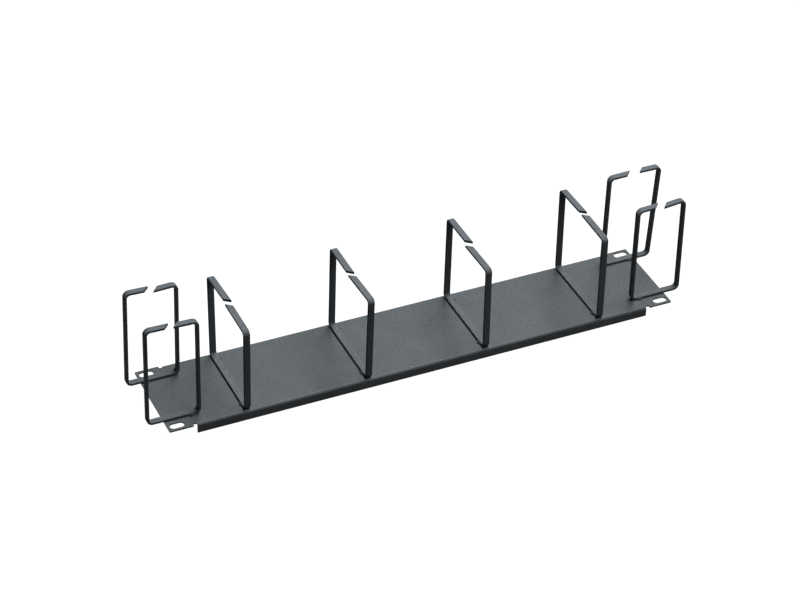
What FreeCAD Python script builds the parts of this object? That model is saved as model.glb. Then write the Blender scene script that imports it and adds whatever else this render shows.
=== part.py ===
"""Horizontal cable manager for a 19-inch rack, two units high.

One folded steel sheet is the face plate: flat ears with slotted holes at both ends, and its two
long edges folded back between relief notches. Eight open rings, bent from flat steel bar, stand on
it and hold the cables. Four middle rings stand across the plate. Four end rings stand along it and
reach out past its ends. A slanted cut in each ring's top bar lets the cables slip in, and two short
weld beads hold each ring.

Frame, in millimetres: the origin is the middle of the four slots, in the plane at the back of the
ears that seats on the rack posts. +X runs along the plate, +Y across it, +Z out of the rack.
"""
import FreeCAD, Part
import math
import os
from collections import namedtuple

Vector = FreeCAD.Vector
ORIGIN = Vector(0, 0, 0)
UP = Vector(0, 0, 1)

# Rack standard: the plate's outline and its four slots.
PLATE_LENGTH = 482.6
PLATE_HEIGHT = 88.1
SLOT_PITCH_X = 465.1
SLOT_PITCH_Y = 76.2
SLOT_LENGTH = 13.0
SLOT_WIDTH = 7.0

# Folded sheet.
SHEET = 1.5
FOLD_RADIUS = 1.0            # inside the fold
FOLD_DEPTH = 9.2             # from the plate's front face to the folded edge
FOLD_HALF_LENGTH = 216.0
NOTCH_WIDTH = 3.5            # relief between the fold and the ear
NOTCH_DEPTH = 2.7
NOTCH_RADIUS = 1.0
EAR_RADIUS = 1.0

# Flat bar of the rings, bent the easy way.
BAR_WIDTH = 6.0
BAR_THICK = 2.5
BAR_EDGE = 0.5               # bevel of the bar's eased edges

# Middle rings: across the plate, evenly spaced.
MIDDLE_WIDTH = 84.2
MIDDLE_PITCH = 113.0
MIDDLE_BEND = 2.0            # inside radius
MIDDLE_CUT_ANGLE = -39.0     # of the cut through the top bar, from square to the bar

# End rings: along the plate, beyond its ends.
END_WIDTH = 49.2
END_BEND = 3.0
END_CUT_ANGLE = -43.0

# Weld beads.
BEAD_LENGTH = 5.0
BEAD_LEG = 2.2
BEAD_TAPER = 1.3             # at each end
BEAD_UNDERCUT = 0.35         # how far the bead runs in under the bar's eased edge
MIDDLE_BEAD_OFFSET = 33.0    # from the middle of the ring's base
END_BEAD_INSET = 8.5         # from the face of the arm that stands on the plate
END_BEAD_MARGIN = 5.0        # from the end of the plate

# One arm of a ring. Its height is that of its upper corner above the plate, and spring is how far
# that corner leans outward. Lift is how far the line of its top bar has risen at the ring's middle,
# and stop is how far short of that middle the top bar is cut off.
Arm = namedtuple("Arm", "height spring lift stop")
# A ring: where the middle of its base stands, and the arms at the low and high end of its base.
Ring = namedtuple("Ring", "name x y low high")

# The rings are bent by hand, so their arms differ a little. One arm has been pulled open.
MIDDLE_RINGS = [
    Ring("middle_ring_1", -1.5 * MIDDLE_PITCH, 0.0,
         low=Arm(83.3, 0.4, 0.9, 1.7), high=Arm(84.4, 2.7, 2.5, 2.8)),
    Ring("middle_ring_2", -0.5 * MIDDLE_PITCH, 0.0,
         low=Arm(86.4, 2.9, -2.2, 3.2), high=Arm(86.3, -1.8, -0.8, 1.9)),
    Ring("middle_ring_3", 0.5 * MIDDLE_PITCH, 0.0,
         low=Arm(83.7, -1.4, -1.0, 0.2), high=Arm(86.9, -0.8, 0.3, 1.6)),
    Ring("middle_ring_4", 1.5 * MIDDLE_PITCH, 0.0,
         low=Arm(86.5, -0.8, 1.1, 2.9), high=Arm(87.4, 1.1, 0.8, 3.0)),
]
END_RINGS = [
    Ring("end_ring_front_left", -232.0, -27.5,
         low=Arm(100.0, -0.9, -0.7, 3.4), high=Arm(98.0, 0.3, 0.7, 4.6)),
    Ring("end_ring_rear_left", -230.2, 29.5,
         low=Arm(98.9, -1.8, -0.9, 2.4), high=Arm(96.5, 1.2, -0.8, 6.0)),
    Ring("end_ring_front_right", 232.0, -27.5,
         low=Arm(98.3, 0.2, 1.0, 5.3), high=Arm(99.1, -1.2, -2.1, 3.6)),
    Ring("end_ring_rear_right", 232.3, 29.5,
         low=Arm(97.3, -0.8, 0.4, 3.6), high=Arm(97.9, 4.6, 0.3, 9.0)),
]

FRONT_FACE = SHEET           # height of the plate's front face, where the rings stand
REACH = 300.0                # longer than anything here, for cutting away


def rounded_corner(before, corner, after, radius):
    """The start, middle and end of the arc that rounds a corner between two straight runs."""
    back = (before - corner).normalize()
    ahead = (after - corner).normalize()
    half_angle = back.getAngle(ahead) / 2
    to_tangent = radius / math.tan(half_angle)
    to_middle = radius / math.sin(half_angle) - radius
    inward = (back + ahead).normalize()
    return corner + back * to_tangent, corner + inward * to_middle, corner + ahead * to_tangent


def rounded_face(corners):
    """A flat face in the XY plane. Each corner is (x, y, radius), with radius 0 for a sharp one."""
    points = [Vector(x, y, 0) for x, y, radius in corners]
    arcs = []
    for i, (x, y, radius) in enumerate(corners):
        following = points[(i + 1) % len(points)]
        arcs.append(rounded_corner(points[i - 1], points[i], following, radius))
    edges = []
    for i, (start, middle, end) in enumerate(arcs):
        if corners[i][2] > 0:
            edges.append(Part.Arc(start, middle, end).toShape())
        edges.append(Part.makeLine(end, arcs[(i + 1) % len(arcs)][0]))
    return Part.Face(Part.Wire(edges))


def bent_path(points, radius):
    """An open wire through points, with each corner between them bent to the same radius."""
    edges = []
    here = points[0]
    for before, corner, after in zip(points, points[1:], points[2:]):
        start, middle, end = rounded_corner(before, corner, after, radius)
        edges.append(Part.makeLine(here, start))
        edges.append(Part.Arc(start, middle, end).toShape())
        here = end
    edges.append(Part.makeLine(here, points[-1]))
    return Part.Wire(edges)


def plate_flat():
    """The flat of the plate, out through the four notches and round both ears."""
    end = PLATE_LENGTH / 2
    edge = PLATE_HEIGHT / 2
    flat = edge - FOLD_RADIUS - SHEET
    notch = edge - NOTCH_DEPTH
    ear = FOLD_HALF_LENGTH + NOTCH_WIDTH
    quarter = [
        (FOLD_HALF_LENGTH, flat, 0),
        (FOLD_HALF_LENGTH, notch, 0),
        (ear, notch, NOTCH_RADIUS),
        (ear, edge, 0),
        (end, edge, EAR_RADIUS),
    ]
    corners = []
    for sign_x, sign_y in ((1, 1), (1, -1), (-1, -1), (-1, 1)):
        order = quarter if sign_x * sign_y > 0 else quarter[::-1]
        corners += [(sign_x * x, sign_y * y, radius) for x, y, radius in order]
    return rounded_face(corners).extrude(UP * SHEET)


def fold():
    """The fold along the plate's +Y edge: an L of sheet, rounded inside and out, drawn along X.

    It laps onto the flat of the plate a little, so that the two join over a whole face.
    """
    edge = PLATE_HEIGHT / 2
    low = FRONT_FACE - FOLD_DEPTH
    lap = edge - FOLD_RADIUS - 2 * SHEET
    section = rounded_face([
        (lap, FRONT_FACE, 0),
        (lap, FRONT_FACE - SHEET, 0),
        (edge - SHEET, FRONT_FACE - SHEET, FOLD_RADIUS),
        (edge - SHEET, low, 0),
        (edge, low, 0),
        (edge, FRONT_FACE, FOLD_RADIUS + SHEET),
    ])
    section.rotate(ORIGIN, Vector(1, 1, 1), 120)      # X to Y, Y to Z
    section.translate(Vector(-FOLD_HALF_LENGTH, 0, 0))
    return section.extrude(Vector(2 * FOLD_HALF_LENGTH, 0, 0))


def slot():
    """One slot about the origin, as a solid that passes right through the sheet."""
    half_width = SLOT_WIDTH / 2
    half_run = SLOT_LENGTH / 2 - half_width
    through = 3 * SHEET
    body = Part.makeBox(2 * half_run, SLOT_WIDTH, through, Vector(-half_run, -half_width, -SHEET))
    for x in (-half_run, half_run):
        body = body.fuse(Part.makeCylinder(half_width, through, Vector(x, 0, -SHEET)))
    return body


def face_plate():
    """The folded sheet with its slots."""
    plate = plate_flat()
    for turn in (0, 180):
        edge = fold()
        edge.rotate(ORIGIN, UP, turn)
        plate = plate.fuse(edge)
    plate = plate.removeSplitter()
    for x in (-SLOT_PITCH_X / 2, SLOT_PITCH_X / 2):
        for y in (-SLOT_PITCH_Y / 2, SLOT_PITCH_Y / 2):
            cutter = slot()
            cutter.translate(Vector(x, y, 0))
            plate = plate.cut(cutter)
    return plate


def bar_section():
    """The bar's section as a face in the XY plane: thick along X, wide along Y, its edges eased."""
    thick = BAR_THICK / 2
    wide = BAR_WIDTH / 2
    flat_thick = thick - BAR_EDGE
    flat_wide = wide - BAR_EDGE
    return rounded_face([
        (-thick, -flat_wide, 0), (-flat_thick, -wide, 0), (flat_thick, -wide, 0),
        (thick, -flat_wide, 0), (thick, flat_wide, 0), (flat_thick, wide, 0),
        (-flat_thick, wide, 0), (-thick, flat_wide, 0),
    ])


def bent_arm(width, arm, bend, cut_angle):
    """Half a ring in the XZ plane: half its base, from the origin along +X, an arm and a top bar.

    The bar's section is swept along the bent line of its middle, and a slanted block cuts off the
    end of the top bar.
    """
    middle = BAR_THICK / 2
    foot = width / 2 - middle
    head = foot + arm.spring
    corner = arm.height - middle
    slope = arm.lift / head
    free = -BAR_WIDTH
    path = bent_path([
        Vector(0, 0, middle),
        Vector(foot, 0, middle),
        Vector(head, 0, corner),
        Vector(free, 0, corner + slope * (head - free)),
    ], bend + middle)

    section = bar_section()
    section.rotate(ORIGIN, Vector(0, 1, 0), 90)
    section.translate(Vector(0, 0, middle))

    low = arm.height / 2
    waste = Part.makeBox(REACH, 2 * REACH, REACH, Vector(-REACH, -REACH, low))
    waste.rotate(ORIGIN, UP, cut_angle)
    waste.translate(Vector(arm.stop, 0, 0))
    return path.makePipe(section).cut(waste)


def open_ring(spec, width, bend, cut_angle, turn):
    """A whole ring where it stands, with its base along X turned by turn about +Z."""
    ring = bent_arm(width, spec.high, bend, cut_angle)
    other = bent_arm(width, spec.low, bend, cut_angle)
    other.rotate(ORIGIN, UP, 180)
    ring = ring.fuse(other).removeSplitter()
    ring.rotate(ORIGIN, UP, turn)
    ring.translate(Vector(spec.x, spec.y, FRONT_FACE))
    return ring


def weld_bead(ring, foot, outward):
    """A short fillet weld at foot, on the line where a bar's side meets the plate.

    It is a quarter of a bar turned to a taper at both ends, about that line, less the ring itself.
    The unit vector outward points away from the ring, out over the bead.
    """
    half = BEAD_LENGTH / 2
    full = half - BEAD_TAPER
    profile = rounded_face([(-half, 0, 0), (half, 0, 0), (full, BEAD_LEG, 0), (-full, BEAD_LEG, 0)])
    spindle = profile.revolve(ORIGIN, Vector(1, 0, 0), 360)
    kept = Part.makeBox(BEAD_LENGTH, BEAD_UNDERCUT + BEAD_LEG, BEAD_LEG,
                        Vector(-half, -BEAD_UNDERCUT, 0))
    bead = spindle.common(kept)
    bead.rotate(ORIGIN, UP, math.degrees(math.atan2(outward.y, outward.x)) - 90)
    bead.translate(foot)
    return bead.cut(ring)


def middle_beads(spec):
    """The feet of a middle ring's two beads, at opposite corners, each with its outward side."""
    half = BAR_WIDTH / 2
    return {
        "front": (Vector(spec.x - half, spec.y - MIDDLE_BEAD_OFFSET, FRONT_FACE), Vector(-1, 0, 0)),
        "rear": (Vector(spec.x + half, spec.y + MIDDLE_BEAD_OFFSET, FRONT_FACE), Vector(1, 0, 0)),
    }


def end_beads(spec):
    """The feet of an end ring's two beads, by the arm on the plate and by the plate's end."""
    end = math.copysign(1, spec.x)
    side = math.copysign(1, spec.y)
    half = BAR_WIDTH / 2
    by_arm = spec.x - end * (END_WIDTH / 2 - END_BEAD_INSET)
    by_end = end * (PLATE_LENGTH / 2 - END_BEAD_MARGIN)
    return {
        "inner": (Vector(by_arm, spec.y + side * half, FRONT_FACE), Vector(0, side, 0)),
        "outer": (Vector(by_end, spec.y - side * half, FRONT_FACE), Vector(0, -side, 0)),
    }


def main():
    """Build every node and write each as its own STEP file."""
    nodes = {"face_plate": face_plate()}
    for spec in MIDDLE_RINGS:
        ring = open_ring(spec, MIDDLE_WIDTH, MIDDLE_BEND, MIDDLE_CUT_ANGLE, turn=90)
        nodes[spec.name] = ring
        for place, (foot, outward) in middle_beads(spec).items():
            nodes[f"{spec.name}_{place}_weld"] = weld_bead(ring, foot, outward)
    for spec in END_RINGS:
        ring = open_ring(spec, END_WIDTH, END_BEND, END_CUT_ANGLE, turn=0)
        nodes[spec.name] = ring
        for place, (foot, outward) in end_beads(spec).items():
            nodes[f"{spec.name}_{place}_weld"] = weld_bead(ring, foot, outward)

    os.makedirs("parts", exist_ok=True)
    for name, shape in nodes.items():
        shape.exportStep(f"parts/{name}.step")
        print(f"{name}: {len(shape.Solids)} solid, {shape.Volume:.1f} mm3, valid {shape.isValid()}")


main()
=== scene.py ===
"""Looks of a horizontal cable manager for a 19-inch rack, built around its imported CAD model.

The object is one folded steel face plate that carries eight open rings of bent flat bar, each held
by two weld beads, all under one charcoal powder coat. Every CAD node is stood for by a finer piece
of the same form:

- the plate is laid out flat as a blank, its two long edge strips are wrapped round the fold lines,
  and the sheet is then given its thickness and its eased edges;
- a ring is the rounded section of the bar carried along the bent line of its middle;
- a bead is a rippled spindle that lies in the corner between a ring's foot and the plate.

All lengths are in metres. +X runs along the plate, +Y across it, and +Z is the way the rings stand.
"""
from __future__ import annotations

import logging
import math
from dataclasses import dataclass, field
from enum import Enum

import bpy
import numpy as np
from mathutils import Matrix, Vector

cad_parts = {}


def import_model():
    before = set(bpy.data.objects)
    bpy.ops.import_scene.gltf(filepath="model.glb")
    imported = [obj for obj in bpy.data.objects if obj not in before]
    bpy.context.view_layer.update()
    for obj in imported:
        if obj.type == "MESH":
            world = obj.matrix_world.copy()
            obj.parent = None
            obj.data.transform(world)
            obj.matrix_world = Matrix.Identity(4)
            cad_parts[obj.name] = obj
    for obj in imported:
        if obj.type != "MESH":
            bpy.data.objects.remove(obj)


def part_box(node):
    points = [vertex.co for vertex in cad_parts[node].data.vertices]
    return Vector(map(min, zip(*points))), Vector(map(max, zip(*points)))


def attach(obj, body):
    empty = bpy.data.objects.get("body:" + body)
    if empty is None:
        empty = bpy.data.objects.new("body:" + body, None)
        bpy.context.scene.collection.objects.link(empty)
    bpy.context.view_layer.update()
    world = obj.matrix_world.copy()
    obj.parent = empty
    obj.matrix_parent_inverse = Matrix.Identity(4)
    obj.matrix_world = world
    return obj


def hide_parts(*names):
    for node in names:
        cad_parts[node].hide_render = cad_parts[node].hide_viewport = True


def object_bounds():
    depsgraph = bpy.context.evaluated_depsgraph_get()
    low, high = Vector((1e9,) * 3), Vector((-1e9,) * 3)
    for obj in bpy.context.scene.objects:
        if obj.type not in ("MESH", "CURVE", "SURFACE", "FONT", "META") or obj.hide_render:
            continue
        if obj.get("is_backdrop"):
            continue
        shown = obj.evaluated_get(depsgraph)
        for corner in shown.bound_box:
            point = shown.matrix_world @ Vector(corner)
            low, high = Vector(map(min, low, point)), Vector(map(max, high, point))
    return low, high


Piece = bpy.types.Object
Socket = bpy.types.NodeSocket

LOG = logging.getLogger("cable_manager")
ROOT = "root"
MILLIMETRES = 1000  # in a metre
MERGE_STEP = 1e-7  # points that round to the same steps are one point of a mesh
FLATNESS = 100  # how far large faces lead the shading: 100 is the most
NOISE_RANGE = (0.3, 0.7)  # where most of a noise lies
MIX_A, MIX_B, MIX_RESULT = 6, 7, 2  # the mix node's sockets for colours


# ---- Meshes from arrays ----


def grid_faces(rows: int, columns: int, closed: bool = False) -> np.ndarray:
    """Corner indices of the quads between neighbouring points of a grid of points.

    Point (i, j) has the index i * columns + j. With closed, the last column joins the first.

    Args:
        rows: Number of points along the first parameter.
        columns: Number of points along the second parameter.
        closed: Whether the second parameter runs round a closed loop.

    Returns:
        An array of shape (quads, 4).
    """
    i = np.arange(rows - 1)[:, None]
    j = np.arange(columns if closed else columns - 1)[None, :]
    here = i * columns + j
    beside = i * columns + (j + 1) % columns
    return np.stack([here, beside, beside + columns, here + columns], axis=-1).reshape(-1, 4)


def fan_faces(loop: np.ndarray, pole: int) -> np.ndarray:
    """Triangles that close a loop of points onto one pole.

    Args:
        loop: Indices of the loop's points, in order.
        pole: Index of the pole.

    Returns:
        An array of shape (triangles, 3).
    """
    return np.stack([loop, np.roll(loop, -1), np.full_like(loop, pole)], axis=-1)


def capped(skin: np.ndarray, poles: np.ndarray) -> tuple[np.ndarray, list[np.ndarray]]:
    """Closes a tube: a fan of triangles joins its first and its last row to a pole each.

    Args:
        skin: The tube's points, of shape (rows, columns, 3), where the columns run round it.
        poles: The two points that its ends close on.

    Returns:
        The points, with the poles last, and the faces.
    """
    rows, columns = skin.shape[:2]
    first = np.arange(columns)
    last = (rows - 1) * columns + first
    count = rows * columns
    fans = np.vstack([fan_faces(first[::-1], count), fan_faces(last, count + 1)])
    return np.vstack([skin.reshape(-1, 3), poles]), [grid_faces(rows, columns, closed=True), fans]


def flat_grid(along: np.ndarray | float, across: np.ndarray | float) -> np.ndarray:
    """Flat points, or a flat grid of them, from places along and across that broadcast together."""
    return np.stack(np.broadcast_arrays(along, across, 0.0), axis=-1)


def facing_up(points: np.ndarray, quads: np.ndarray) -> np.ndarray:
    """The quads of a patch, turned round if the patch faces down.

    The sign of the sum of all the quads' areas, seen from above, tells which way it faces.

    Args:
        points: The patch's points.
        quads: Corner indices into them.

    Returns:
        The quads, facing up.
    """
    a, b, c, d = (points[corners] for corners in quads.T)
    area = np.cross((c - a)[:, :2], (d - b)[:, :2]).sum()
    return quads if area > 0 else quads[:, ::-1]


def faces_outward(points: np.ndarray, faces: list[np.ndarray]) -> list[np.ndarray]:
    """The faces of a closed mesh, turned round if they point inwards.

    They do if its volume, the sum over triangles of a . (b x c) / 6, comes out negative. Each larger
    face is cut into a fan.

    Args:
        points: The points, of shape (n, 3).
        faces: Arrays of corner indices, one array for each number of corners.

    Returns:
        The faces, pointing outwards.
    """
    volume = 0.0
    for corners in faces:
        a = points[corners[:, 0]]
        for k in range(1, corners.shape[1] - 1):
            b, c = points[corners[:, k]], points[corners[:, k + 1]]
            volume += np.einsum("ij,ij->", a, np.cross(b, c)) / 6
    return [corners[:, ::-1] for corners in faces] if volume < 0 else faces


def merged(points: np.ndarray, faces: np.ndarray) -> tuple[np.ndarray, np.ndarray]:
    """Merges the points that lie in one place, so that patches laid side by side become one mesh.

    Args:
        points: The points, of shape (n, 3).
        faces: Corner indices into them.

    Returns:
        The points without repeats, and the faces' indices into those.
    """
    cells = np.round(points / MERGE_STEP).astype(np.int64)
    _, first, place = np.unique(cells, axis=0, return_index=True, return_inverse=True)
    return points[first], place.reshape(-1)[faces]


def mesh_object(name: str, points: np.ndarray, faces: list[np.ndarray]) -> Piece:
    """Puts points and faces into a smooth-shaded mesh object that stands at the origin.

    Args:
        name: The object's name.
        points: The points, of shape (n, 3).
        faces: Arrays of corner indices, one array for each number of corners.

    Returns:
        The object, linked to the scene.
    """
    corners = np.concatenate([group.ravel() for group in faces]).astype(np.int32)
    sizes = np.concatenate([np.full(len(group), group.shape[1]) for group in faces])
    starts = (np.cumsum(sizes) - sizes).astype(np.int32)
    mesh = bpy.data.meshes.new(name)
    mesh.vertices.add(len(points))
    mesh.vertices.foreach_set("co", points.astype(np.float32).ravel())
    mesh.loops.add(len(corners))
    mesh.loops.foreach_set("vertex_index", corners)
    mesh.polygons.add(len(sizes))
    mesh.polygons.foreach_set("loop_start", starts)
    mesh.polygons.foreach_set("use_smooth", np.ones(len(sizes), dtype=bool))
    mesh.update(calc_edges=True)
    mesh.validate()
    made = bpy.data.objects.new(name, mesh)
    bpy.context.scene.collection.objects.link(made)
    return made


def keep_flats_flat(piece: Piece) -> None:
    """Lets the large faces of a piece set the shading, so that only its edges look round."""
    weighted = piece.modifiers.new("flat_faces", "WEIGHTED_NORMAL")
    weighted.mode = "FACE_AREA"
    weighted.weight = FLATNESS


# ---- Finishes ----


class Coat(Enum):
    """The record's material slots, one for each kind of piece that is coated."""

    PLATE = "plate_coat"
    RING = "ring_coat"
    WELD = "weld_coat"


class NodeBoard:
    """A material's or the world's node tree, with short calls to place and join nodes."""

    def __init__(self, owner: bpy.types.Material | bpy.types.World) -> None:
        """Clears the tree that the board is to fill."""
        owner.use_nodes = True
        self.tree = owner.node_tree
        self.tree.nodes.clear()

    def add(self, kind: str, inputs: dict[str | int, object] | None = None,
            **settings: object) -> bpy.types.Node:
        """Places a node.

        Args:
            kind: The node's type, such as ShaderNodeBump.
            inputs: Values or output sockets for its inputs, by the input's name or number.
            **settings: Values for its properties.

        Returns:
            The node.
        """
        node = self.tree.nodes.new(kind)
        for key, value in settings.items():
            setattr(node, key, value)
        for key, value in (inputs or {}).items():
            self.feed(node.inputs[key], value)
        return node

    def feed(self, socket: Socket, value: object) -> None:
        """Joins an output to a socket, or sets the socket to a plain value."""
        if isinstance(value, Socket):
            self.tree.links.new(value, socket)
        else:
            socket.default_value = value

    def compute(self, operation: str, *terms: object) -> Socket:
        """The result of an operation on terms, each of which is an output socket or a number."""
        return self.add("ShaderNodeMath", dict(enumerate(terms)), operation=operation).outputs[0]

    def noise(self, place: Socket, scale: float, octaves: float, fade: float = 0.5) -> Socket:
        """A noise of scale waves a metre with finer octaves, each fade times as strong as the last."""
        inputs = {"Vector": place, "Scale": scale, "Detail": octaves, "Roughness": fade}
        return self.add("ShaderNodeTexNoise", inputs).outputs["Fac"]


@dataclass(frozen=True)
class PowderCoat:
    """A nearly matt charcoal powder coat with a fine, slightly pebbled texture.

    Attributes:
        slot: The record's slot that it finishes.
        colour: Its linear colour.
        roughness: Its mean roughness.
        gloss: Its specular level, where 0.5 is plain lacquer.
        grain: Size of the texture's pebbles.
        relief: Height of the pebbles.
        drift: How far the colour drifts over a few centimetres, as a share of itself.
        speckle: How far it differs from pebble to pebble, as a share of itself.
        uneven: How far the roughness strays either way over a few millimetres.
        drift_scale: Waves of the drift in a metre.
        speckle_scale: Waves of the speckle, as a share of the grain's.
        uneven_scale: Waves of the roughness in a metre.
        peel_scale: Waves of the orange peel under the grain, as a share of the grain's.
        peel_relief: Height of the orange peel, as a share of the pebbles'.
    """

    slot: Coat
    # The default colour is the ring coat's. It is lighter than the plate's, though both are the same
    # powder coat: painted sheen that makes the ring tops look brighter.
    colour: tuple[float, float, float] = (0.106, 0.118, 0.128)
    roughness: float = 0.5
    gloss: float = 0.005
    grain: float = 0.0008
    relief: float = 0.000012
    drift: float = 0.08
    speckle: float = 0.2
    uneven: float = 0.05
    drift_scale: float = 28.0
    speckle_scale: float = 0.7
    uneven_scale: float = 240.0
    peel_scale: float = 0.22
    peel_relief: float = 1.5

    def material(self) -> bpy.types.Material:
        """Builds the coat as a node material that reads Object coordinates.

        Returns:
            The material.
        """
        made = bpy.data.materials.new(self.slot.value)
        board = NodeBoard(made)
        place = board.add("ShaderNodeTexCoord").outputs["Object"]
        shader = board.add("ShaderNodeBsdfPrincipled", {
            "Base Color": self._colour(board, place),
            "Roughness": self._roughness(board, place),
            "Specular IOR Level": self.gloss,
            "Normal": self._relief(board, place),
        })
        board.add("ShaderNodeOutputMaterial", {"Surface": shader.outputs["BSDF"]})
        return made

    def _colour(self, board: NodeBoard, place: Socket) -> Socket:
        """The colour, which drifts a little over the surface and differs between the pebbles.

        Both are noises that keep between a quarter and three quarters. Their mean, weighted by
        drift and speckle, mixes a dark and a light tone that lie twice drift + speckle either side
        of the colour.
        """
        spread = self.drift + self.speckle
        drift = board.noise(place, self.drift_scale, octaves=3)
        pebble = board.noise(place, self.speckle_scale / self.grain, octaves=1)
        broad = board.compute("MULTIPLY", drift, self.drift / spread)
        both = board.compute("MULTIPLY_ADD", pebble, self.speckle / spread, broad)
        tones = board.add("ShaderNodeMix", {
            "Factor": both, MIX_A: self._tone(1 - 2 * spread), MIX_B: self._tone(1 + 2 * spread),
        }, data_type="RGBA")
        return tones.outputs[MIX_RESULT]

    def _tone(self, share: float) -> tuple[float, ...]:
        """A share of the colour, as a shader's red, green, blue and alpha."""
        return (*(channel * share for channel in self.colour), 1)

    def _roughness(self, board: NodeBoard, place: Socket) -> Socket:
        """The roughness, which strays either way over a few millimetres."""
        low, high = NOISE_RANGE
        patches = board.add("ShaderNodeMapRange", {
            "Value": board.noise(place, self.uneven_scale, octaves=2),
            "From Min": low, "From Max": high,
            "To Min": self.roughness - self.uneven, "To Max": self.roughness + self.uneven,
        })
        return patches.outputs["Result"]

    def _relief(self, board: NodeBoard, place: Socket) -> Socket:
        """The pebbled relief: a fine grain over a broader orange peel."""
        grain = board.noise(place, 1 / self.grain, octaves=2, fade=0.6)
        peel = board.noise(place, self.peel_scale / self.grain, octaves=1)
        broad = board.add("ShaderNodeBump", {
            "Height": peel, "Distance": self.peel_relief * self.relief,
        })
        fine = board.add("ShaderNodeBump", {
            "Height": grain, "Distance": self.relief, "Normal": broad.outputs["Normal"],
        })
        return fine.outputs["Normal"]


@dataclass(frozen=True)
class PaperWhite:
    """The pale surroundings: white where they are seen or mirrored, and no lamps themselves.

    Attributes:
        colour: Linear grey that the floor really has for the light it throws back.
        floor_glow: What the floor adds to that where it is seen, so that it looks white.
    """

    colour: float = 0.085
    floor_glow: float = 0.99

    def seen(self, board: NodeBoard) -> Socket:
        """1 for a ray from the camera, from a glossy surface or through a clear one, or else 0."""
        path = board.add("ShaderNodeLightPath").outputs
        seen = board.compute("MAXIMUM", path["Is Camera Ray"], path["Is Glossy Ray"])
        return board.compute("MAXIMUM", seen, path["Is Transmission Ray"])

    def floor(self) -> bpy.types.Material:
        """The floor's material, which keeps the object's shadow and is clear from below.

        Returns:
            The material.
        """
        made = bpy.data.materials.new("pale_floor")
        board = NodeBoard(made)
        matt = board.add("ShaderNodeBsdfDiffuse", {"Color": (*(self.colour,) * 3, 1)})
        glow = board.compute("MULTIPLY", self.seen(board), self.floor_glow)
        light = board.add("ShaderNodeEmission", {"Strength": glow})
        front = board.add("ShaderNodeAddShader", {0: matt.outputs[0], 1: light.outputs[0]})
        side = board.add("ShaderNodeNewGeometry").outputs["Backfacing"]
        clear = board.add("ShaderNodeBsdfTransparent")
        mix = board.add("ShaderNodeMixShader", {0: side, 1: front.outputs[0], 2: clear.outputs[0]})
        board.add("ShaderNodeOutputMaterial", {"Surface": mix.outputs[0]})
        return made

    def world(self) -> None:
        """Makes a world that is white where it is seen or mirrored, and otherwise dark."""
        made = bpy.data.worlds.new("pale_room")
        board = NodeBoard(made)
        light = board.add("ShaderNodeBackground", {
            "Color": (1, 1, 1, 1), "Strength": self.seen(board),
        })
        board.add("ShaderNodeOutputWorld", {"Surface": light.outputs[0]})
        bpy.context.scene.world = made


def dress(piece: Piece, material: bpy.types.Material) -> None:
    """Gives a piece its material and its slot, and lets it ride on the object's one body."""
    piece.data.materials.clear()
    piece.data.materials.append(material)
    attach(piece, ROOT)


# ---- Flat bar and rings ----


@dataclass(frozen=True)
class BentLine:
    """A line bent to one radius at each of its inner corners, as stations in a plane.

    Attributes:
        points: Places of the stations, of shape (n, 2).
        ahead: Unit directions of the line there, of shape (n, 2).
        bend: How far into a bend each station is: 0 on the straights, 1 halfway round a bend.
    """

    points: np.ndarray
    ahead: np.ndarray
    bend: np.ndarray

    @classmethod
    def through(cls, corners: np.ndarray, radius: float, steps: int) -> BentLine:
        """Bends a line through corners.

        A bend of turn a starts radius * tan(a / 2) before its corner. Its centre lies radius to the
        left of that start, and the direction turns evenly from the run before to the run after.

        Args:
            corners: The corners, and the two ends, of shape (n, 2). Every turn is to the left.
            radius: Radius of the bends.
            steps: Number of equal steps that each bend is turned in.

        Returns:
            The bent line, with stations at its two ends and round each bend.
        """
        runs = np.diff(corners, axis=0)
        runs /= np.linalg.norm(runs, axis=1, keepdims=True)
        before, after = runs[:-1], runs[1:]
        turn = np.arccos(np.clip(np.sum(before * after, axis=1), -1, 1))
        start = corners[1:-1] - before * (radius * np.tan(turn / 2))[:, None]
        left = np.stack([-before[:, 1], before[:, 0]], axis=1)
        centre = start + radius * left
        share = np.linspace(0, 1, steps + 1)
        angle = turn[:, None] * share
        cos, sin = np.cos(angle)[..., None], np.sin(angle)[..., None]
        ahead = cos * before[:, None] + sin * left[:, None]
        points = centre[:, None] - radius * (cos * left[:, None] - sin * before[:, None])
        bend = np.broadcast_to(np.sin(np.pi * share) ** 2, angle.shape)
        return cls(
            points=np.vstack([corners[:1], points.reshape(-1, 2), corners[-1:]]),
            ahead=np.vstack([runs[:1], ahead.reshape(-1, 2), runs[-1:]]),
            bend=np.concatenate([[0], bend.reshape(-1), [0]]),
        )


@dataclass(frozen=True)
class SlantedCut:
    """The plane that ends a bar. It stands upright and crosses the bar at a slant.

    Attributes:
        along: Where the plane crosses the bar's middle.
        slant: How far it runs along the bar for each metre across it.
    """

    along: float
    slant: float


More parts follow.
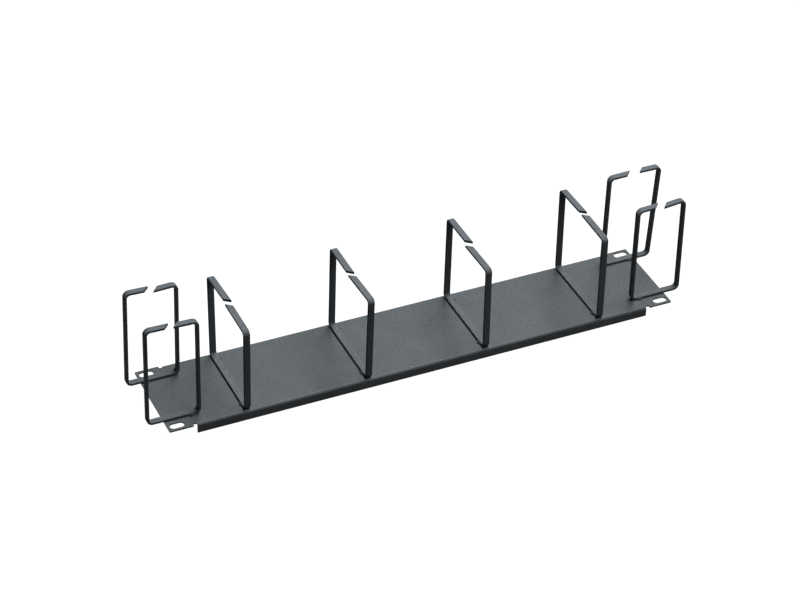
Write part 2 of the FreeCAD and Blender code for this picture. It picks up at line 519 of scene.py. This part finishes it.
@dataclass(frozen=True)
class FlatBar:
    """The flat steel bar that every ring is bent from.

    Attributes:
        width: Its width.
        thickness: Its thickness, across which it is bent.
        edge: Radius of its rolled edges under the coat.
        rim: Radius of the coat round a cut end.
        swell: How much wider its inner face grows round a bend, as a share of the width.
        corner_steps: Facets round each rolled edge.
        rim_steps: Facets round the rim of a cut end.
    """

    width: float = 0.0060
    thickness: float = 0.0025
    edge: float = 0.00065
    rim: float = 0.0003
    swell: float = 0.03
    corner_steps: int = 5
    rim_steps: int = 3

    def section(self, inset: np.ndarray) -> np.ndarray:
        """The bar's section, once for each inset.

        It is a rectangle with round corners: a quarter circle of radius edge - inset round each
        corner of the core rectangle, taken in turn.

        Args:
            inset: How far each section is drawn in from the full one, of shape (n,).

        Returns:
            Places across the thickness and across the width, of shape (n, points, 2).
        """
        core = np.array([self.thickness / 2, self.width / 2]) - self.edge
        signs = np.array([(1, 1), (-1, 1), (-1, -1), (1, -1)])
        quarter = np.linspace(0, np.pi / 2, self.corner_steps + 1)
        angle = np.arange(len(signs))[:, None] * np.pi / 2 + quarter
        round_corner = np.stack([np.cos(angle), np.sin(angle)], axis=-1)
        radius = (self.edge - inset)[:, None, None, None]
        return (core * signs[:, None] + radius * round_corner).reshape(len(inset), -1, 2)

    def carried(self, line: BentLine, cuts: tuple[SlantedCut, SlantedCut]) -> np.ndarray:
        """The bar's skin: its section carried along a bent line, from one cut end to the other.

        At a station p, with the outward normal n to the right of the line, a point that lies t
        across the thickness and w across the width stands at p + t * n, and w out of the plane. In
        a bend, the inner half swells sideways in proportion to its depth. At both ends, the points
        slide along the bar onto the cut, and the rim rolls over it by a quarter circle.

        Args:
            line: The bent line of the bar's middle. Its first and last runs meet the cuts.
            cuts: The planes at its start and at its end.

        Returns:
            The grid of points (along, across, up), of shape (stations, points, 3).
        """
        roll = np.linspace(0, np.pi / 2, self.rim_steps + 1)
        drawn_in = self.rim * (1 - np.cos(roll))
        short = self.rim * (1 - np.sin(roll))
        inner = slice(1, -1)
        skins = [
            self._end(line.points[0], line.ahead[0], cuts[0], drawn_in, short)[::-1],
            self._bent(line.points[inner], line.ahead[inner], line.bend[inner]),
            self._end(line.points[-1], line.ahead[-1], cuts[1], drawn_in, short),
        ]
        return np.concatenate(skins)

    def _bent(self, points: np.ndarray, ahead: np.ndarray, bend: np.ndarray) -> np.ndarray:
        """Sections square to the line, swollen on the inner side of the bends."""
        section = self.section(np.zeros(len(points)))
        thick, wide = section[..., 0], section[..., 1]
        normal = np.stack([ahead[:, 1], -ahead[:, 0]], axis=1)
        flat = points[:, None] + thick[..., None] * normal[:, None]
        depth = np.clip(-2 * thick / self.thickness, 0, 1)
        wide = wide * (1 + self.swell * bend[:, None] * depth)
        return np.stack([flat[..., 0], wide, flat[..., 1]], axis=-1)

    def _end(self, point: np.ndarray, ahead: np.ndarray, cut: SlantedCut,
             drawn_in: np.ndarray, short: np.ndarray) -> np.ndarray:
        """Sections slid along the bar onto planes that stop short of a cut."""
        section = self.section(drawn_in)
        thick, wide = section[..., 0], section[..., 1]
        normal = np.array([ahead[1], -ahead[0]])
        flat = point + thick[..., None] * normal
        outward = np.sign(cut.along - point[0])
        goal = cut.along - wide * cut.slant - outward * short[:, None]
        slide = (goal - flat[..., 0]) / ahead[0]
        flat = flat + slide[..., None] * ahead
        return np.stack([flat[..., 0], wide, flat[..., 1]], axis=-1)


@dataclass(frozen=True)
class Arm:
    """One arm of a ring, as it was bent by hand.

    Attributes:
        height: Height of its upper corner above the plate.
        spring: How far that corner leans outward.
        lift: How far the line of its top bar has risen at the ring's middle.
        stop: How far short of that middle the top bar is cut off.
    """

    height: float
    spring: float
    lift: float
    stop: float


class Stance(Enum):
    """Which way a ring stands on the plate."""

    ACROSS = "across the plate"
    ALONG = "along the plate"

    @property
    def along(self) -> int:
        """Number of the axis that a ring's base runs along."""
        return 1 if self is Stance.ACROSS else 0

    @property
    def axes(self) -> np.ndarray:
        """Rows that turn (along the base, across the bar, up) into (x, y, z)."""
        if self is Stance.ACROSS:
            return np.array([[0.0, 1.0, 0.0], [-1.0, 0.0, 0.0], [0.0, 0.0, 1.0]])
        return np.eye(3)


@dataclass(frozen=True)
class RingKind:
    """What all rings of one kind share.

    Attributes:
        stance: Which way they stand.
        width: Outer width of the base.
        bend: Inside radius of the bends.
        slant: Angle of the cut, from square to the bar, in degrees.
        beads: Places of the two weld beads, as their nodes are named.
    """

    stance: Stance
    width: float
    bend: float
    slant: float
    beads: tuple[str, str]


MIDDLE_RING = RingKind(Stance.ACROSS, width=0.0842, bend=0.0020, slant=-39,
                       beads=("front", "rear"))
END_RING = RingKind(Stance.ALONG, width=0.0492, bend=0.0030, slant=-43,
                    beads=("inner", "outer"))


@dataclass(frozen=True)
class WeldBead:
    """A short weld bead in the corner between a ring's foot and the plate.

    Attributes:
        leg: Its reach up the bar and out over the plate.
        fullness: Mean radius of its open side, as a share of the leg.
        sunk: Its radius inside the steel, as a share of the open side's.
        opening: Radians from its open side's middle round to where it sinks in.
        turn_in: How sharply it sinks in there.
        bluntness: Power that rounds off its ends: 2 makes an ellipse, and more is blunter.
        ripple: Height of its ripples, as a share of the leg.
        ripples: Number of ripples along it.
        ripple_bow: How far their crests bow along it, as a share of half its length.
        ripple_shift: Radians that they shift by from bead to bead.
        lump: Height of a slow wave that makes it uneven, as a share of the leg.
        lump_wave: Radians of that wave in half its length.
        lump_shift: Radians that the wave shifts by from bead to bead.
        rows: Points along it.
        columns: Points round it.
    """

    leg: float = 0.0018
    fullness: float = 0.93
    sunk: float = 0.35
    opening: float = 0.36 * np.pi
    turn_in: float = 12.0
    bluntness: float = 2.6
    ripple: float = 0.07
    ripples: float = 3.5
    ripple_bow: float = 0.16
    ripple_shift: float = 1.7
    lump: float = 0.08
    lump_wave: float = 2.1
    lump_shift: float = 1.3
    rows: int = 41
    columns: int = 28

    def skin(self, length: float, seed: int) -> np.ndarray:
        """The bead about the X axis, with its open side between +Y and +Z.

        At a share s of half its length and an angle a round it, the radius is leg times
        (1 - |s| ^ bluntness) ^ 0.5, which closes both ends, times 1 on the open side or sunk inside
        the steel, times fullness plus the ripple and the lump. Both of those are waves along s, and
        the ripple's crests bow as those of a drawn pool do.

        Args:
            length: Length of the bead.
            seed: Number that shifts the ripples and the lump, so that no two beads are alike.

        Returns:
            The grid of points, of shape (rows, columns, 3).
        """
        share = np.sin(np.linspace(-np.pi / 2, np.pi / 2, self.rows))[:, None]
        angle = np.linspace(0, 2 * np.pi, self.columns, endpoint=False)[None, :]
        middle = np.pi / 4
        envelope = np.sqrt(np.clip(1 - np.abs(share) ** self.bluntness, 0, 1))
        off_middle = np.abs((angle - middle + np.pi) % (2 * np.pi) - np.pi)
        open_side = 1 / (1 + np.exp((off_middle - self.opening) * self.turn_in))
        crest = np.pi * self.ripples * (share + self.ripple_bow * np.cos(2 * (angle - middle)))
        ripple = self.ripple * np.cos(crest + self.ripple_shift * seed)
        lump = self.lump * np.sin(self.lump_shift * seed + self.lump_wave * share)
        radius = self.leg * envelope * (self.sunk + (1 - self.sunk) * open_side)
        radius = radius * (self.fullness + ripple + lump)
        return np.stack(np.broadcast_arrays(
            length / 2 * share, radius * np.cos(angle), radius * np.sin(angle)), axis=-1)


@dataclass(frozen=True)
class CableRing:
    """One open ring with its two weld beads.

    Attributes:
        name: Name of its CAD node.
        kind: What it shares with its like.
        low: The arm at the low end of its base, towards -X or -Y.
        high: The arm at the high end.
        bar: The bar that it is bent from.
        bead: The form of its weld beads.
        bend_steps: Facets round each bend.
    """

    name: str
    kind: RingKind
    low: Arm
    high: Arm
    bar: FlatBar = field(default_factory=FlatBar)
    bead: WeldBead = field(default_factory=WeldBead)
    bend_steps: int = 12

    def middle(self) -> BentLine:
        """The bent line of the bar's middle, from the low arm's free end to the high arm's.

        The ring stands in a plane with its base's middle at the origin, and the line runs down the
        low arm, along the base and up the high arm, so every bend turns left.

        Returns:
            The line.
        """
        half = self.bar.thickness / 2
        foot = self.kind.width / 2 - half
        sides = []
        for arm in (self.low, self.high):
            head = foot + arm.spring
            corner = arm.height - half
            end = (arm.stop, corner + arm.lift * (head - arm.stop) / head)
            sides.append(np.array([(foot, half), (head, corner), end]))
        low, high = sides
        corners = np.vstack([low[::-1] * (-1, 1), high])
        return BentLine.through(corners, self.kind.bend + half, self.bend_steps)

    def cuts(self) -> tuple[SlantedCut, SlantedCut]:
        """The planes that end the low arm's and the high arm's top bar."""
        slant = math.tan(math.radians(self.kind.slant))
        return SlantedCut(-self.low.stop, slant), SlantedCut(self.high.stop, slant)

    def foot(self) -> np.ndarray:
        """The middle of the ring's base on the plate, as the CAD node's box places it.

        The box ends at the base's own end, or further out where the arm springs outward, so it is
        taken from the side whose arm springs less.

        Returns:
            The point.
        """
        low, high = np.array(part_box(self.name))
        place = (low + high) / 2
        along = self.kind.stance.along
        if self.low.spring <= self.high.spring:
            place[along] = low[along] + self.kind.width / 2 + max(0.0, self.low.spring)
        else:
            place[along] = high[along] - self.kind.width / 2 - max(0.0, self.high.spring)
        place[2] = low[2]
        return place

    def build(self, coats: dict[Coat, bpy.types.Material]) -> dict[str, Piece]:
        """Makes the ring and its beads, and dresses them.

        Args:
            coats: The material for each kind of piece.

        Returns:
            The bar and the beads, by the CAD node that each stands for.
        """
        pieces = {self.name: self._build_bar()}
        for number, place in enumerate(self.kind.beads):
            node = f"{self.name}_{place}_weld"
            pieces[node] = self._build_bead(node, number)
        for node, piece in pieces.items():
            coat = Coat.RING if node == self.name else Coat.WELD
            dress(piece, coats[coat])
        return pieces

    def _build_bar(self) -> Piece:
        """The bar: the carried section, closed at each end onto the middle of the cut."""
        skin = self.bar.carried(self.middle(), self.cuts())
        points, faces = capped(skin, skin[[0, -1]].mean(axis=1))
        points = points @ self.kind.stance.axes + self.foot()
        piece = mesh_object(f"{self.name}_bar", points, faces_outward(points, faces))
        keep_flats_flat(piece)
        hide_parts(self.name)
        return piece

    def _build_bead(self, node: str, number: int) -> Piece:
        """A bead as long as its node's box, laid where the bar's side meets the plate."""
        low, high = np.array(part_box(node))
        along = self.kind.stance.along
        across = 1 - along
        foot = self.foot()
        centre = (low + high) / 2
        side = np.sign(centre[across] - foot[across])
        centre[across] = foot[across] + side * self.bar.width / 2
        centre[2] = low[2]
        axes = np.eye(3)[[along, across, 2]]
        axes[1] *= side
        seed = number + sum(map(ord, self.name))
        skin = self.bead.skin(high[along] - low[along], seed)
        points, faces = capped(skin[1:-1], skin[[0, -1], 0])
        points = points @ axes + centre
        piece = mesh_object(f"{node}_bead", points, faces_outward(points, faces))
        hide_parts(node)
        return piece


# ---- Face plate ----


@dataclass(frozen=True)
class FacePlate:
    """The folded sheet: a flat panel with two slotted ears, and its long edges folded back.

    One quarter of its front face is laid out flat from patches and mirrored to the other three. The
    patches share their border points, so they merge into one sheet.

    Attributes:
        name: Name of its CAD node.
        length: Length over the ears.
        height: Height over the folds.
        sheet: Thickness of the sheet.
        fold_radius: Inside radius of the folds.
        fold_depth: From the front face to the folded edge.
        fold_half: Half the length of a fold.
        notch: Width and depth of the relief at the end of a fold.
        corner: Radius of the ears' corners and of the relief's inner corner.
        slot_place: Place of a slot's middle.
        slot_size: Length and width of a slot.
        edge: Radius of the coat round the cut edges.
        edge_angle: Turn past which an edge counts as a cut edge, in degrees.
        edge_steps: Facets round a cut edge.
        panel_lines: Grid lines along half the length of a fold.
        level_lines: Grid lines from the plate's middle up to the patch round a slot.
        rise_lines: Grid lines from there up to the relief.
        fold_lines: Grid lines round a fold.
        flange_lines: Grid lines across the strip that is folded back.
        ear_lines: Grid lines along an ear.
        corner_lines: Grid lines round a small corner.
        slot_lines: Grid lines from a slot's outline out to its patch's border.
    """

    name: str = "face_plate"
    length: float = 0.4826
    height: float = 0.0881
    sheet: float = 0.0015
    fold_radius: float = 0.0010
    fold_depth: float = 0.0092
    fold_half: float = 0.2160
    notch: tuple[float, float] = (0.0035, 0.0027)
    corner: float = 0.0010
    slot_place: tuple[float, float] = (0.23255, 0.0381)
    slot_size: tuple[float, float] = (0.0130, 0.0070)
    edge: float = 0.0002
    edge_angle: float = 40
    edge_steps: int = 3
    panel_lines: int = 37
    level_lines: int = 9
    rise_lines: int = 10
    fold_lines: int = 17
    flange_lines: int = 4
    ear_lines: int = 19
    corner_lines: int = 6
    slot_lines: int = 6

    @property
    def ear_start(self) -> float:
        """Where an ear begins to have its full height, beyond the relief."""
        return self.fold_half + self.notch[0]

    @property
    def notch_floor(self) -> float:
        """How far up the sheet the relief is cut down to."""
        return self.height / 2 - self.notch[1]

    @property
    def slot_floor(self) -> float:
        """Lower border of the patch round a slot, as far below it as the ear's edge is above."""
        return 2 * self.slot_place[1] - self.height / 2

    def levels(self) -> np.ndarray:
        """Heights of the grid lines from the plate's middle up to the patch round a slot."""
        return np.linspace(0, self.slot_floor, self.level_lines)

    def steps_up(self) -> np.ndarray:
        """Shares of the way from the lower border of a slot's patch up to the relief."""
        return np.linspace(0, 1, self.rise_lines)

    def ear_columns(self) -> np.ndarray:
        """Places of the grid lines along an ear."""
        return np.linspace(self.ear_start, self.length / 2, self.ear_lines)

    def panel(self) -> np.ndarray:
        """The quarter of the panel between its middle and the end of the fold, with the fold.

        The sheet is laid out flat first, and its strip beyond the fold line is then wrapped round
        the fold: a length s past that line stands at an angle s / r round it, up to a quarter turn,
        and runs straight back from there.

        Returns:
            The grid of points, of shape (columns, levels, 3).
        """
        outer = self.fold_radius + self.sheet
        line = self.height / 2 - outer
        flats = self.slot_floor + (self.notch_floor - self.slot_floor) * self.steps_up()
        turn = np.linspace(0, outer * np.pi / 2, self.fold_lines)
        back = np.linspace(0, self.fold_depth - outer, self.flange_lines)[1:]
        laid_out = np.concatenate([self.levels(), flats[1:], line + turn, line + turn[-1] + back])
        past = np.clip(laid_out - line, 0, None)
        angle = np.clip(past / outer, 0, np.pi / 2)
        beyond = np.clip(past - turn[-1], 0, None)
        across = np.minimum(laid_out, line) + outer * np.sin(angle)
        drop = outer * (1 - np.cos(angle)) + beyond
        along = np.linspace(0, self.fold_half, self.panel_lines)
        return np.stack(np.broadcast_arrays(along[:, None], across, -drop), axis=-1)

    def notch_strip(self) -> tuple[np.ndarray, np.ndarray]:
        """The strip of an ear under the relief, whose top follows the relief's round corner.

        Past the corner's start, the top rises along a quarter circle: at an angle a round it, the
        place along is start + r sin a and the height is floor + r (1 - cos a).

        Returns:
            Two grids of points: the strip below the slot's patch, and the strip beside it.
        """
        start = self.ear_start - self.corner
        angle = np.linspace(0, np.pi / 2, self.corner_lines)
        along = np.concatenate([[self.fold_half, (self.fold_half + start) / 2],
                                start + self.corner * np.sin(angle)])
        top = self.notch_floor + self.corner * np.concatenate([[0, 0], 1 - np.cos(angle)])
        beside = self.slot_floor + (top - self.slot_floor)[:, None] * self.steps_up()
        return flat_grid(along[:, None], self.levels()), flat_grid(along[:, None], beside)

    def ear(self) -> np.ndarray:
        """The part of an ear below the patch round its slot."""
        return flat_grid(self.ear_columns()[:, None], self.levels())

    def slot_patch(self) -> np.ndarray:
        """The patch round a slot, from the slot's outline out to the patch's own border.

        A border point p is joined to the nearest point q of the slot's axis. The outline is crossed
        half a slot's width from q, and the grid lines run straight from there to p.

        Returns:
            The closed grid of points, of shape (rings, border points, 3).
        """
        border = self._patch_border()
        half_width = self.slot_size[1] / 2
        half_axis = self.slot_size[0] / 2 - half_width
        middle = np.array((*self.slot_place, 0.0))
        nearest = np.repeat(middle[None], len(border), axis=0)
        nearest[:, 0] += np.clip(border[:, 0] - middle[0], -half_axis, half_axis)
        ray = border - nearest
        outline = nearest + half_width * ray / np.linalg.norm(ray, axis=1, keepdims=True)
        share = np.linspace(0, 1, self.slot_lines)[:, None, None]
        return outline + (border - outline) * share

    def _patch_border(self) -> np.ndarray:
        """The border of a slot's patch, anticlockwise, on the grid points of its neighbours."""
        floor, top, end = self.slot_floor, self.height / 2, self.length / 2
        rise = np.linspace(floor, top - self.corner, self.rise_lines)[1:]
        angle = np.linspace(0, np.pi / 2, self.corner_lines)[1:]
        run = np.linspace(end - self.corner, self.ear_start, self.ear_lines - 1)[1:]
        relief = self.notch_floor + self.corner
        beside = floor + (relief - floor) * self.steps_up()[::-1]
        return np.vstack([
            flat_grid(self.ear_columns(), floor),
            flat_grid(end, rise),
            flat_grid(end - self.corner + self.corner * np.cos(angle),
                      top - self.corner + self.corner * np.sin(angle)),
            flat_grid(run, top),
            flat_grid(self.ear_start, np.append((top + relief) / 2, beside[:-1])),
        ])

    def build(self, coats: dict[Coat, bpy.types.Material]) -> Piece:
        """Makes the plate and dresses it.

        Args:
            coats: The material for each kind of piece.

        Returns:
            The plate.
        """
        patches = [(self.panel(), False), (self.ear(), False), (self.slot_patch(), True)]
        patches += [(strip, False) for strip in self.notch_strip()]
        points, faces, count = [], [], 0
        for flip_x in (1, -1):
            for flip_y in (1, -1):
                for grid, closed in patches:
                    patch = grid.reshape(-1, 3) * (flip_x, flip_y, 1)
                    quads = facing_up(patch, grid_faces(*grid.shape[:2], closed=closed))
                    points.append(patch)
                    faces.append(quads + count)
                    count += len(patch)
        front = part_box(self.name)[1].z
        sheet, quads = merged(np.vstack(points), np.vstack(faces))
        piece = mesh_object(f"{self.name}_sheet", sheet + (0, 0, front), [quads])
        self._finish_sheet(piece)
        dress(piece, coats[Coat.PLATE])
        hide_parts(self.name)
        return piece

    def _finish_sheet(self, piece: Piece) -> None:
        """Gives the front face its thickness behind it, and the cut edges their round coat."""
        thick = piece.modifiers.new("sheet", "SOLIDIFY")
        thick.thickness = self.sheet
        thick.offset = -1
        thick.use_even_offset = True
        eased = piece.modifiers.new("cut_edges", "BEVEL")
        eased.width = self.edge
        eased.segments = self.edge_steps
        eased.limit_method = "ANGLE"
        eased.angle_limit = math.radians(self.edge_angle)
        eased.use_clamp_overlap = False
        eased.loop_slide = False
        keep_flats_flat(piece)


# ---- Studio ----


@dataclass(frozen=True)
class SoftBox:
    """A large soft lamp that looks at the object's middle.

    Attributes:
        name: Its name.
        azimuth: Where it stands, in degrees from -Y towards +X.
        elevation: Its height above the floor, in degrees.
        distance: Its distance from the middle.
        size: Its width and height.
        radiance: How bright its face is, where 1 is white.
    """

    name: str
    azimuth: float
    elevation: float
    distance: float
    size: tuple[float, float]
    radiance: float

    def build(self) -> None:
        """Places the lamp. Its power is radiance times pi times the area of its face."""
        data = bpy.data.lights.new(self.name, "AREA")
        data.shape = "RECTANGLE"
        data.size, data.size_y = self.size
        data.energy = self.radiance * math.pi * self.size[0] * self.size[1]
        lamp = bpy.data.objects.new(self.name, data)
        back = direction(self.azimuth, self.elevation)
        lamp.location = back * self.distance
        lamp.rotation_euler = (-back).to_track_quat("-Z", "Y").to_euler()
        lamp.visible_camera = False
        bpy.context.scene.collection.objects.link(lamp)


@dataclass(frozen=True)
class StudioCamera:
    """The camera.

    Attributes:
        aim: The point that it looks at.
        azimuth: Where it stands, in degrees from -Y towards +X.
        elevation: Its height above the floor, in degrees.
        distance: Its distance from the point.
        roll: How far it leans to the right, in degrees.
        lens: Its focal length in millimetres.
        sensor: Width of its sensor in millimetres.
    """

    aim: tuple[float, float, float] = (0.01595, 0.05348, 0.0)
    azimuth: float = -25.149
    elevation: float = 36.611
    distance: float = 2.4753
    roll: float = 1.578
    lens: float = 123.34
    sensor: float = 36.0

    def build(self) -> None:
        """Places the camera and makes it the scene's."""
        data = bpy.data.cameras.new("camera")
        data.sensor_width = self.sensor
        data.lens = self.lens
        camera = bpy.data.objects.new("camera", data)
        back = direction(self.azimuth, self.elevation)
        level = (-back).to_track_quat("-Z", "Y").to_matrix()
        lean = Matrix.Rotation(math.radians(self.roll), 3, "Z")
        camera.matrix_world = (level @ lean).to_4x4()
        camera.location = Vector(self.aim) + back * self.distance
        bpy.context.scene.collection.objects.link(camera)
        bpy.context.scene.camera = camera


@dataclass(frozen=True)
class Studio:
    """The floor, the lamps and the camera.

    Attributes:
        floor_half: Half the side of the floor.
        floor_lines: Grid lines each way across the floor.
        surroundings: The pale floor and room.
        lamps: The lamps.
        camera: The camera.
    """

    floor_half: float = 6.0
    floor_lines: int = 9
    surroundings: PaperWhite = field(default_factory=PaperWhite)
    lamps: tuple[SoftBox, ...] = (
        SoftBox("key_box", azimuth=115, elevation=72, distance=3.1, size=(1.4, 1.4), radiance=13.2),
        SoftBox("rim_box", azimuth=145, elevation=54, distance=3.1, size=(1.0, 0.35), radiance=40.0),
        SoftBox("front_box", azimuth=32, elevation=71, distance=1.3, size=(0.58, 0.58), radiance=5.9),
    )
    camera: StudioCamera = field(default_factory=StudioCamera)

    def build(self, rest_height: float) -> None:
        """Sets the studio up round the object.

        Args:
            rest_height: Height of the surface that the object lies on.
        """
        bpy.context.scene.view_settings.view_transform = "Standard"
        side = np.linspace(-self.floor_half, self.floor_half, self.floor_lines)
        points = flat_grid(side[:, None], side).reshape(-1, 3) + (0, 0, rest_height)
        quads = facing_up(points, grid_faces(len(side), len(side)))
        floor = mesh_object("floor", points, [quads])
        floor.data.materials.append(self.surroundings.floor())
        floor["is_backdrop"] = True
        self.surroundings.world()
        for lamp in self.lamps:
            lamp.build()
        self.camera.build()


def direction(azimuth: float, elevation: float) -> Vector:
    """The unit vector from the middle towards a place in the room.

    Args:
        azimuth: In degrees from -Y towards +X.
        elevation: In degrees above the floor.

    Returns:
        The vector.
    """
    turn, rise = math.radians(azimuth), math.radians(elevation)
    return Vector((math.sin(turn) * math.cos(rise), -math.cos(turn) * math.cos(rise),
                   math.sin(rise)))


# ---- The object ----


@dataclass(frozen=True)
class CableManager:
    """The whole object: the plate and its eight rings, each bent a little differently."""

    plate: FacePlate = field(default_factory=FacePlate)
    rings: tuple[CableRing, ...] = (
        CableRing("middle_ring_1", MIDDLE_RING,
                  low=Arm(0.0833, 0.0004, 0.0009, 0.0017),
                  high=Arm(0.0844, 0.0027, 0.0025, 0.0028)),
        CableRing("middle_ring_2", MIDDLE_RING,
                  low=Arm(0.0864, 0.0029, -0.0022, 0.0032),
                  high=Arm(0.0863, -0.0018, -0.0008, 0.0019)),
        CableRing("middle_ring_3", MIDDLE_RING,
                  low=Arm(0.0837, -0.0014, -0.0010, 0.0002),
                  high=Arm(0.0869, -0.0008, 0.0003, 0.0016)),
        CableRing("middle_ring_4", MIDDLE_RING,
                  low=Arm(0.0865, -0.0008, 0.0011, 0.0029),
                  high=Arm(0.0874, 0.0011, 0.0008, 0.0030)),
        CableRing("end_ring_front_left", END_RING,
                  low=Arm(0.1000, -0.0009, -0.0007, 0.0034),
                  high=Arm(0.0980, 0.0003, 0.0007, 0.0046)),
        CableRing("end_ring_rear_left", END_RING,
                  low=Arm(0.0989, -0.0018, -0.0009, 0.0024),
                  high=Arm(0.0965, 0.0012, -0.0008, 0.0060)),
        CableRing("end_ring_front_right", END_RING,
                  low=Arm(0.0983, 0.0002, 0.0010, 0.0053),
                  high=Arm(0.0991, -0.0012, -0.0021, 0.0036)),
        CableRing("end_ring_rear_right", END_RING,
                  low=Arm(0.0973, -0.0008, 0.0004, 0.0036),
                  high=Arm(0.0979, 0.0046, 0.0003, 0.0090)),
    )

    def build(self) -> dict[str, Piece]:
        """Makes every piece.

        Returns:
            The pieces, by the CAD node that each stands for.
        """
        finishes = (
            PowderCoat(Coat.PLATE, colour=(0.083, 0.093, 0.100), roughness=0.32, gloss=0.05),
            # The ring coat keeps the lighter default colour: painted sheen on the rings' tops.
            PowderCoat(Coat.RING),
            # The weld coat is the same powder coat, but its colour is made darker than the ring's and
            # the plate's: painted shade, so that the beads look shaded in the corner at the rings'
            # feet.
            PowderCoat(Coat.WELD, colour=(0.062, 0.069, 0.075), drift=0.2),
        )
        coats = {finish.slot: finish.material() for finish in finishes}
        pieces = {self.plate.name: self.plate.build(coats)}
        for ring in self.rings:
            pieces |= ring.build(coats)
        return pieces


def report(node: str, piece: Piece) -> None:
    """Logs a piece's faces as shown, and how far its box is from that of its CAD node.

    Args:
        node: The CAD node.
        piece: The piece.
    """
    shown = piece.evaluated_get(bpy.context.evaluated_depsgraph_get())
    corners = np.array(shown.bound_box)
    box = np.stack([corners.min(axis=0), corners.max(axis=0)])
    off = np.abs(box - np.array(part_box(node))).max()
    LOG.info("%s: %d faces, box within %.3f mm of %s", piece.name, len(shown.data.polygons),
             off * MILLIMETRES, node)


def main() -> None:
    """Builds the object and its studio on the loaded frame."""
    logging.basicConfig(level=logging.INFO, format="%(message)s")
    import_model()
    cad_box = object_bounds()
    for node, piece in CableManager().build().items():
        report(node, piece)
    Studio().build(cad_box[0].z)
    bpy.context.view_layer.update()


if __name__ == "__main__":
    main()
